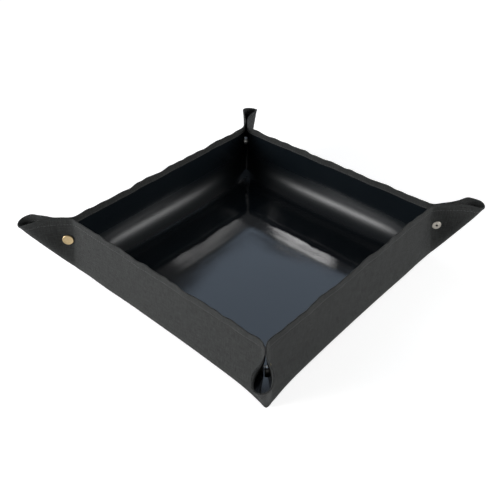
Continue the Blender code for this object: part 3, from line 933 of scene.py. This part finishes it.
def fold_scuff(tree, flat_uv):
    """Roughness that is added along the folds, by the distance from the sheet's middle."""
    middle = (CUT / 2 * MM, CUT / 2 * MM, 0)
    away = add_node(tree, "ShaderNodeVectorMath", {0: flat_uv, 1: middle}, operation="SUBTRACT").outputs[0]
    x, y, _ = split(tree, away)
    farther = maths(tree, "MAXIMUM", maths(tree, "ABSOLUTE", x), maths(tree, "ABSOLUTE", y))
    rise, fall = (mapped(tree, farther, start * MM, stop * MM, low, high, interpolation_type="SMOOTHSTEP")
                  for (start, stop), low, high in ((SCUFF_RISE, 0.0, 1.0), (SCUFF_FALL, 1.0, FREE_WALL_SHARE)))
    return maths(tree, "MULTIPLY", maths(tree, "MULTIPLY", rise, fall), FOLD_SCUFF)


def coating_finish():
    finish, tree, shader = new_finish("coated_cloth_coating", (0.0045, 0.005, 0.006), 0.3)
    height, flat_uv = weave_height(tree)
    scuffs = noise(tree, flat_uv, SCUFFS, 6.0, 0.6)
    creases = noise(tree, flat_uv, CREASES, 2.0, 0.4)
    waves = bumped(tree, creases, CREASE_BUMP, 0.5)
    set_inputs(tree, shader, {
        "Base Color": mixed(tree, scuffs, COAT_DARK, COAT_LIGHT),
        "Roughness": maths(tree, "ADD", between(tree, scuffs, *COAT_ROUGHNESS), fold_scuff(tree, flat_uv)),
        "Normal": bumped(tree, height, WEAVE_TRACE, 0.5, waves), "Specular IOR Level": 0.5})
    return finish


finishes = [coating_finish(), weave_finish()]
for number, name in enumerate(piece_names):
    pieces[name] = cloth_piece(number, finishes)
print("cloth pieces:", len(pieces), "faces:", sum(len(piece.data.polygons) for piece in pieces.values()))

# %% [markdown]
# ## The hem's stitches
# A lockstitch shows as a row of short thread bumps on both faces, all alike and evenly spaced
# along the seam. Geometry Nodes lay one small bead of thread at each step of a line that runs
# 8.6 mm inside the cut edge, turned to lie along the line and flat on the cloth.

# %% Geometry Nodes tree for a row of stitches
STITCH = {"Pitch": 4.0, "Length": 3.3, "Width": 0.75, "Height": 0.55}


def stitch_tree():
    tree = bpy.data.node_groups.new("row_of_stitches", "GeometryNodeTree")
    add = tree.interface.new_socket
    add("Seam", in_out="INPUT", socket_type="NodeSocketGeometry")
    inputs = {}
    for name, value in STITCH.items():
        inputs[name] = add(name, in_out="INPUT", socket_type="NodeSocketFloat")
        inputs[name].default_value = value * MM
    inputs["Thread"] = add("Thread", in_out="INPUT", socket_type="NodeSocketMaterial")
    add("Stitches", in_out="OUTPUT", socket_type="NodeSocketGeometry")
    given = add_node(tree, "NodeGroupInput").outputs
    curve = add_node(tree, "GeometryNodeMeshToCurve", {"Mesh": given["Seam"]})
    steps = add_node(tree, "GeometryNodeResampleCurve", mode="LENGTH")
    set_inputs(tree, steps, {"Curve": curve.outputs[0], "Length": given["Pitch"]})
    bead = add_node(tree, "GeometryNodeMeshUVSphere", {"Segments": 8, "Rings": 5, "Radius": 0.5})
    tangent = add_node(tree, "GeometryNodeInputTangent")
    lie = add_node(tree, "GeometryNodeInputNamedAttribute", {"Name": "lie"}, data_type="FLOAT_VECTOR")
    along = add_node(tree, "FunctionNodeAlignRotationToVector", {"Vector": tangent.outputs[0]}, axis="X")
    flat_on = add_node(tree, "FunctionNodeAlignRotationToVector", axis="Z", pivot_axis="X")
    set_inputs(tree, flat_on, {"Rotation": along.outputs[0], "Vector": lie.outputs["Attribute"]})
    size = add_node(tree, "ShaderNodeCombineXYZ", {0: given["Length"], 1: given["Width"], 2: given["Height"]})
    beads = add_node(tree, "GeometryNodeInstanceOnPoints", {
        "Points": steps.outputs[0], "Instance": bead.outputs["Mesh"],
        "Rotation": flat_on.outputs[0], "Scale": size.outputs[0]})
    real = add_node(tree, "GeometryNodeRealizeInstances", {0: beads.outputs[0]})
    dressed = add_node(tree, "GeometryNodeSetMaterial", {"Geometry": real.outputs[0], "Material": given["Thread"]})
    add_node(tree, "NodeGroupOutput", {0: dressed.outputs[0]})
    return tree, {name: socket.identifier for name, socket in inputs.items()}


def thread_finish():
    finish, tree, shader = new_finish("stitch_thread", (0.030, 0.030, 0.031), 0.6)
    strands = noise(tree, add_node(tree, "ShaderNodeTexCoord").outputs["Object"], 2600.0, 2.0)
    set_inputs(tree, shader, {
        "Base Color": mixed(tree, strands, (0.018, 0.018, 0.019), (0.05, 0.05, 0.052)),
        "Normal": bumped(tree, strands, 0.0001, 0.5), "Sheen Weight": 0.2})
    return finish


stitch_nodes, stitch_inputs = stitch_tree()
thread = thread_finish()
print("inputs of the stitch tree:", list(stitch_inputs))

# %% Sew the hem of each piece
THREAD_LIFT = 0.05


def seam_runs(number):
    """Runs of the border, as pairs of places on it, that belong to one piece."""
    total = len(border)
    starts = [k for k in range(total) if ring_piece[k] == number and ring_piece[k - 1] != number]
    runs = []
    for start in starts:
        length = 0
        while ring_piece[(start + length) % total] == number:
            length += 1
        runs.append((start, start + length))
    return runs


def seam_object(number):
    """Lines along both faces of the hem, with the way each stitch should lie."""
    total = len(border)
    verts, edges, lies = [], [], []
    for start, stop in seam_runs(number):
        steps = np.arange(start, stop + 1) % total
        spots = (flat[border] + outward * (EDGE_RING - SEAM))[steps]
        place, along_u, along_v = on_sheet(spots[:, 0], spots[:, 1])
        up = unit(np.cross(along_u, along_v))
        for side, height in ((1, HEM_LIFT - SEAM_DIP), (-1, SEAM_DIP - THICKNESS)):
            first = len(verts)
            verts += ((place + up * (height + side * THREAD_LIFT)) * MM).tolist()
            lies += (up * side).tolist()
            edges += [(first + k, first + k + 1) for k in range(len(spots) - 1)]
    mesh = bpy.data.meshes.new("seam")
    mesh.from_pydata(verts, edges, [])
    lie = mesh.attributes.new("lie", "FLOAT_VECTOR", "POINT")
    lie.data.foreach_set("vector", np.array(lies, float).ravel())
    return placed("seam", mesh)


def sewn(number):
    name = piece_names[number].replace("_cloth", "_stitches")
    seam = seam_object(number)
    modifier = seam.modifiers.new("stitches", "NODES")
    modifier.node_group = stitch_nodes
    for key, value in STITCH.items():
        modifier[stitch_inputs[key]] = value * MM
    modifier[stitch_inputs["Thread"]] = thread
    bpy.context.view_layer.update()
    mesh = bpy.data.meshes.new_from_object(seam.evaluated_get(bpy.context.evaluated_depsgraph_get()))
    mesh.name = name
    mesh.polygons.foreach_set("use_smooth", [True] * len(mesh.polygons))
    bpy.data.objects.remove(seam)
    return placed(name, mesh)


stitches = {name: sewn(number) for number, name in enumerate(piece_names) if number in ring_piece}
print("stitch rows:", len(stitches), "faces:", sum(len(s.data.polygons) for s in stitches.values()))

# %% [markdown]
# ## The press studs
# Seen from outside, one half of each stud is a brass cap with a raised ring round a flat middle,
# and the other half is a nickel eyelet with its tube rolled over. Both are turned parts, so each
# is one outline spun round its axis. They sit on the cloth where the pinned discs are. The
# sockets, springs and studs inside keep the model's own shapes and get plated finishes.

# %% Metal finishes
def metal_finish(name, bright, dull, roughness_range, scale):
    finish, tree, shader = new_finish(name, bright, sum(roughness_range) / 2, 1.0)
    where = add_node(tree, "ShaderNodeTexCoord").outputs["Object"]
    patches = noise(tree, where, scale, 5.0, 0.6)
    fine = noise(tree, where, scale * 9, 3.0)
    set_inputs(tree, shader, {
        "Base Color": mixed(tree, patches, bright, dull), "Roughness": between(tree, fine, *roughness_range),
        "Normal": bumped(tree, fine, 0.00003, 0.4)})
    return finish


brass = metal_finish("cap_brass", (0.52, 0.40, 0.225), (0.34, 0.26, 0.145), (0.28, 0.45), 260.0)
nickel = metal_finish("eyelet_nickel", (0.38, 0.36, 0.32), (0.26, 0.245, 0.215), (0.25, 0.4), 300.0)
steel = metal_finish("snap_steel", (0.55, 0.55, 0.53), (0.38, 0.38, 0.37), (0.25, 0.4), 300.0)

# %% Turned shapes
CAP_OUTLINE = ((4.6, 1.35), (5.1, 1.42), (5.6, 1.75), (6.2, 1.95), (6.8, 1.80), (7.2, 1.35), (7.45, 0.7),
               (7.5, 0.2), (7.2, -0.25))
EYELET_OUTLINE = ((1.5, -0.25), (1.5, 0.6), (1.7, 0.95), (2.1, 1.1), (2.5, 1.0), (2.8, 0.75), (3.6, 0.62),
                  (4.8, 0.55), (5.5, 0.45), (5.9, 0.2), (6.0, -0.1), (5.8, -0.25))
TURN_SIDES = 48


def turned_part(name, outline, spot, finish, open_middle=False):
    """Spins an outline of (radius, height), in millimetres, about the outward normal at a flat spot."""
    place, along_u, along_v = on_sheet(np.array([spot[0]]), np.array([spot[1]]))
    outside = -unit(np.cross(along_u, along_v))[0]
    seat = place[0] + outside * THICKNESS
    side = unit(along_u)[0]
    other = np.cross(outside, side)
    angles = np.arange(TURN_SIDES) * 2 * pi / TURN_SIDES
    verts = []
    for r, h in outline:
        verts += [seat + outside * h + side * r * cos(a) + other * r * sin(a) for a in angles]
    faces = []
    for k in range(len(outline) if open_middle else len(outline) - 1):
        here, there = k * TURN_SIDES, (k + 1) % len(outline) * TURN_SIDES
        for n in range(TURN_SIDES):
            m = (n + 1) % TURN_SIDES
            faces.append((here + n, there + n, there + m, here + m))
    if not open_middle:
        faces.append(tuple(range(TURN_SIDES)))
        faces.append(tuple(reversed(range((len(outline) - 1) * TURN_SIDES, len(outline) * TURN_SIDES))))
    mesh = new_mesh(name, [list(v * MM) for v in verts], faces, [finish])
    mesh.update()
    return placed(name, mesh)


snaps = snap_places()
caps = {side: turned_part(f"{side}_cap_disc", CAP_OUTLINE, snaps[side, "left"], brass) for side in SIDES}
eyelets = {side: turned_part(f"{side}_eyelet_ring", EYELET_OUTLINE, snaps[side, "right"], nickel, True)
           for side in SIDES}
for side in SIDES:
    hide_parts(f"{side}_cap")
    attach(caps[side], f"{side}_left_ear")
    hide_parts(f"{side}_eyelet")
    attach(eyelets[side], f"{side}_right_ear")
    for part in ("socket", "spring", "stud"):
        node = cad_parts[f"{side}_{part}"]
        node.data.materials.clear()
        node.data.materials.append(steel)
print("caps and eyelets:", len(caps) + len(eyelets))

# %% [markdown]
# ## The pieces and the model's joints
# The floor rides on its body. For every other piece, a bend between the two bodies that its hinge
# joins is worked out, centred on the fold and a few millimetres wide to each side, about as wide
# as the cloth's own fold. Its place is read from the relaxed sheet, not from the sharp fold map,
# because the near and far ears lean by a centimetre and their folds lean with them. The bend is
# not used: these pieces are fixed where they lie, and the model's parts they stand for are hidden.

# %% Ride on the floor, and bends that are worked out but not used
WALL_BEND = 5.0
EAR_BEND = 6.0
NOSE_BEND = 2.5
WALL_LINE = 100.0
EAR_LINE = (25.0, 75.0)
NOSE_LINE = (35.0, 80.0)


def flat_spot(side, end, past, along):
    """Flat place from distances past an ear's crease and along it."""
    p = past * cos(TILT) - along * sin(TILT) - INSET
    w = past * sin(TILT) + along * cos(TILT)
    return facing(ENDS[end] * (HALF + p), -(HALF + w), -SIDES.index(side))


def sheet_spot(u, v):
    return on_sheet(np.array([u]), np.array([v]))[0][0]


def across_fold(before, after, low, high):
    """Start and end of a bend, square to the line from low to high that its fold runs along."""
    run = unit(high - low)
    across = after - before - run * ((after - before) @ run)
    middle = (before + after) / 2
    return tuple((middle - across / 2) * MM), tuple((middle + across / 2) * MM)


def wall_bend(side):
    spot = lambda along, down: sheet_spot(*facing(along, -down, -SIDES.index(side)))
    spots = [spot(0, HALF + d) for d in (-WALL_BEND, WALL_BEND + 1)]
    return "floor", f"{side}_wall", *across_fold(*spots, spot(-WALL_LINE, HALF), spot(WALL_LINE, HALF))


def ear_bend(side, end):
    spot = lambda past, along: sheet_spot(*flat_spot(side, end, past, along))
    spots = [spot(d, sum(EAR_LINE) / 2) for d in (-EAR_BEND, EAR_BEND)]
    return f"{side}_wall", f"{side}_{end}_ear", *across_fold(*spots, *(spot(0, along) for along in EAR_LINE))


def nose_bend(side, end):
    c, s = cos(TAB + FLANK), sin(TAB + FLANK)
    spot = lambda d, along: sheet_spot(*flat_spot(side, end, d * c + along * s, along * c - d * s))
    spots = [spot(d, sum(NOSE_LINE) / 2) for d in (-NOSE_BEND, NOSE_BEND)]
    return f"{side}_{end}_ear", f"{side}_{end}_nose", *across_fold(*spots, *(spot(0, along) for along in NOSE_LINE))


def flat_box(number):
    """Width and length of a piece's flat cut, turned by an eighth for the noses."""
    own = centres[cell_piece == number]
    if number >= FIRST_NOSE:
        own = own @ np.array([[1, -1], [1, 1]]) / sqrt(2)
    spread = own.max(0) - own.min(0) + GRID
    return spread + (EDGE_RING if number in ring_piece else 0)


for number, name in enumerate(piece_names):
    words = name.replace("_cloth", "").split("_")
    rows = [stitches[name]] if name in stitches else []
    own = [pieces[name]] + rows
    if number == 0:
        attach(pieces[name], "floor")
        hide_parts("floor_panel")
    else:
        bend = {"wall": wall_bend, "ear": ear_bend, "nose": nose_bend}[words[-1]]
        for piece in own:
            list(bend(*words[:-1]))
            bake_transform(piece)
        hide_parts("_".join(words))
    width, length = flat_box(number)

# %% [markdown]
# ## Stage and light
# The photograph is a product shot on white. The stage floor is wide, so that it reaches the
# horizon, and keeps the mat's soft shadow. The mat lies in a quiet, dim room, because black coated
# cloth shows whatever is bright around it. Only the camera, gloss and glass see the floor glow and
# the room white near the horizon, and no light is added to the mat for it.

# %% Floor and world
STAGE_SIZE = 12.0
STAGE_DROP = 0.2
FLOOR_GLOW = 0.72
ROOM_LEVEL = 0.15
WHITE_BELOW = radians(9)
QUIET_ABOVE = radians(17)


def rays_seen(tree):
    """1 for the rays of the camera and those that gloss and glass send on, and 0 for the others."""
    rays = add_node(tree, "ShaderNodeLightPath").outputs
    seen = maths(tree, "ADD", rays["Is Camera Ray"], rays["Is Glossy Ray"])
    return maths(tree, "ADD", seen, rays["Is Transmission Ray"])


def floor_finish():
    finish, tree, shader = new_finish("stage_floor", (0.66, 0.66, 0.66), 0.9)
    set_inputs(tree, shader, {
        "Specular IOR Level": 0.0, "Emission Color": (1, 1, 1, 1),
        "Emission Strength": maths(tree, "MULTIPLY", rays_seen(tree), FLOOR_GLOW)})
    return finish


def make_stage():
    size = STAGE_SIZE
    corners = [(-size, -size, 0), (size, -size, 0), (size, size, 0), (-size, size, 0)]
    floor = placed("stage_floor", new_mesh("stage_floor", corners, [(0, 1, 2, 3)], [floor_finish()]))
    floor.location.z = -STAGE_DROP * MM


def make_world():
    """A quiet room. Only near the horizon do the camera, gloss and glass see white behind the floor."""
    world = bpy.data.worlds.new("quiet_room")
    world.use_nodes = True
    tree = world.node_tree
    height = split(tree, add_node(tree, "ShaderNodeTexCoord").outputs["Generated"])["Z"]
    low = mapped(tree, height, sin(WHITE_BELOW), sin(QUIET_ABOVE), 1.0 - ROOM_LEVEL, 0.0)
    level = maths(tree, "ADD", maths(tree, "MULTIPLY", rays_seen(tree), low), ROOM_LEVEL)
    set_inputs(tree, tree.nodes["Background"], {"Color": (1, 1, 1, 1), "Strength": level})
    bpy.context.scene.world = world


make_stage()
make_world()
print("stage in metres:", 2 * STAGE_SIZE)

# %% [markdown]
# ## Lamps
# Two long softboxes stand low to the left and the right, and the coves under the far walls mirror
# them as long soft bands. Over the far side hang a pale blue panel and two narrow tubes, level
# with the table. The camera sees their mirror images in the flat floor: the panel is its pale
# area, and the tubes are the short bands beside it.

# %% Softboxes and panels
BOX_AIM = (0, 0, 0.05)
BOX_LIFT = 0.54
BOX_HEIGHT = 0.95
BOX_EDGE = 0.3
BOX_MIDDLE = 1.4
SOFTBOXES = {"left_softbox": ((-0.80, -1.57), 1.4, 40), "right_softbox": ((1.50, 0.90), 1.9, 25)}
CEILING = 1.2
PANEL_TURN = radians(7)
PANELS = {"pale_panel": ((-0.754, 0.891), (0.67, 0.715), PANEL_TURN, 2.2, (0.62, 0.78, 1.0)),
          "left_tube": ((-1.232, 1.06), (0.04, 0.40), 0, 0.13, (1, 1, 1)),
          "right_tube": ((-0.93, 1.326), (0.31, 0.042), 0, 0.42, (1, 1, 1))}


def new_lamp(name, place, turn, size, power):
    data = bpy.data.lights.new(name, "AREA")
    data.shape = "RECTANGLE"
    data.size, data.size_y = size
    data.energy = power
    lamp = placed(name, data)
    lamp.location = place
    lamp.rotation_euler = turn
    return lamp


def soft_edge(lamp):
    """Makes a lamp brightest in its middle, as cloth in front of a bulb is."""
    lamp.data.use_nodes = True
    tree = lamp.data.node_tree
    spot = split(tree, add_node(tree, "ShaderNodeNewGeometry").outputs["Parametric"])
    rises = (maths(tree, "PINGPONG", spot[side], 0.5) for side in ("X", "Y"))
    levels = (mapped(tree, rise, 0.0, BOX_EDGE, 0.0, BOX_MIDDLE, interpolation_type="SMOOTHSTEP") for rise in rises)
    set_inputs(tree, tree.nodes["Emission"], {"Strength": maths(tree, "MULTIPLY", *levels)})


for name, (middle, width, power) in SOFTBOXES.items():
    place = Vector((*middle, BOX_LIFT))
    towards = (Vector(BOX_AIM) - place).to_track_quat("-Z", "Y").to_euler()
    soft_edge(new_lamp(name, place, towards, (width, BOX_HEIGHT), power))
for name, (middle, size, turn, power, colour) in PANELS.items():
    new_lamp(name, (*middle, CEILING), (0, 0, turn), size, power).data.color = colour
bpy.context.scene.view_settings.view_transform = "Standard"
print("lamps:", len(bpy.data.lights))
